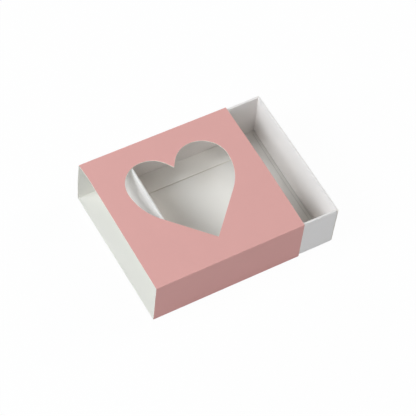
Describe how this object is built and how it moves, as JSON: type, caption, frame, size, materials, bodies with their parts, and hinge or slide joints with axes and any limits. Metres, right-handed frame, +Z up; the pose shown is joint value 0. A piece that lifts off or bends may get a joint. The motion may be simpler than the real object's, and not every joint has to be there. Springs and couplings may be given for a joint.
{
  "type": "slide gift box",
  "caption": "Matchbox-style paperboard box: a printed sleeve, open at its ends, with a heart-shaped window in the top, and a white rolled-wall tray that slides through it.",
  "frame": {"origin": "middle of the sleeve's underside, on the surface that the box lies on", "axes": "+X along the slide, the way the tray is drawn out; -Y the front; +Z up"},
  "size_m": [0.1281, 0.1, 0.0355],
  "materials": {
    "pink_board": "matte dusty-pink print outside, bare white inside and on cut edges",
    "white_board": "matte",
    "seam_glue": "dried white glue, hidden in the seam"
  },
  "bodies": {
    "sleeve": {"sleeve_top_panel": "pink_board", "sleeve_front_panel": "pink_board", "sleeve_bottom_panel": "pink_board", "sleeve_back_panel": "pink_board", "sleeve_glue_flap": "pink_board", "sleeve_seam_glue": "seam_glue"},
    "tray": {"tray_floor": "white_board", "tray_front_outer_wall": "white_board", "tray_front_ridge": "white_board", "tray_front_inner_wall": "white_board", "tray_front_floor_flap": "white_board", "tray_back_outer_wall": "white_board", "tray_back_ridge": "white_board", "tray_back_inner_wall": "white_board", "tray_back_floor_flap": "white_board", "tray_left_outer_wall": "white_board", "tray_left_ridge": "white_board", "tray_left_inner_wall": "white_board", "tray_left_floor_flap": "white_board", "tray_right_outer_wall": "white_board", "tray_right_ridge": "white_board", "tray_right_inner_wall": "white_board", "tray_right_floor_flap": "white_board", "tray_front_left_corner_tab": "white_board", "tray_front_right_corner_tab": "white_board", "tray_back_left_corner_tab": "white_board", "tray_back_right_corner_tab": "white_board"}
  },
  "joints": [
    {"name": "tray_slide", "type": "slide", "parent": "sleeve", "child": "tray", "axis": [1, 0, 0], "range_m": [-0.1288, 0.0766]}
  ]
}
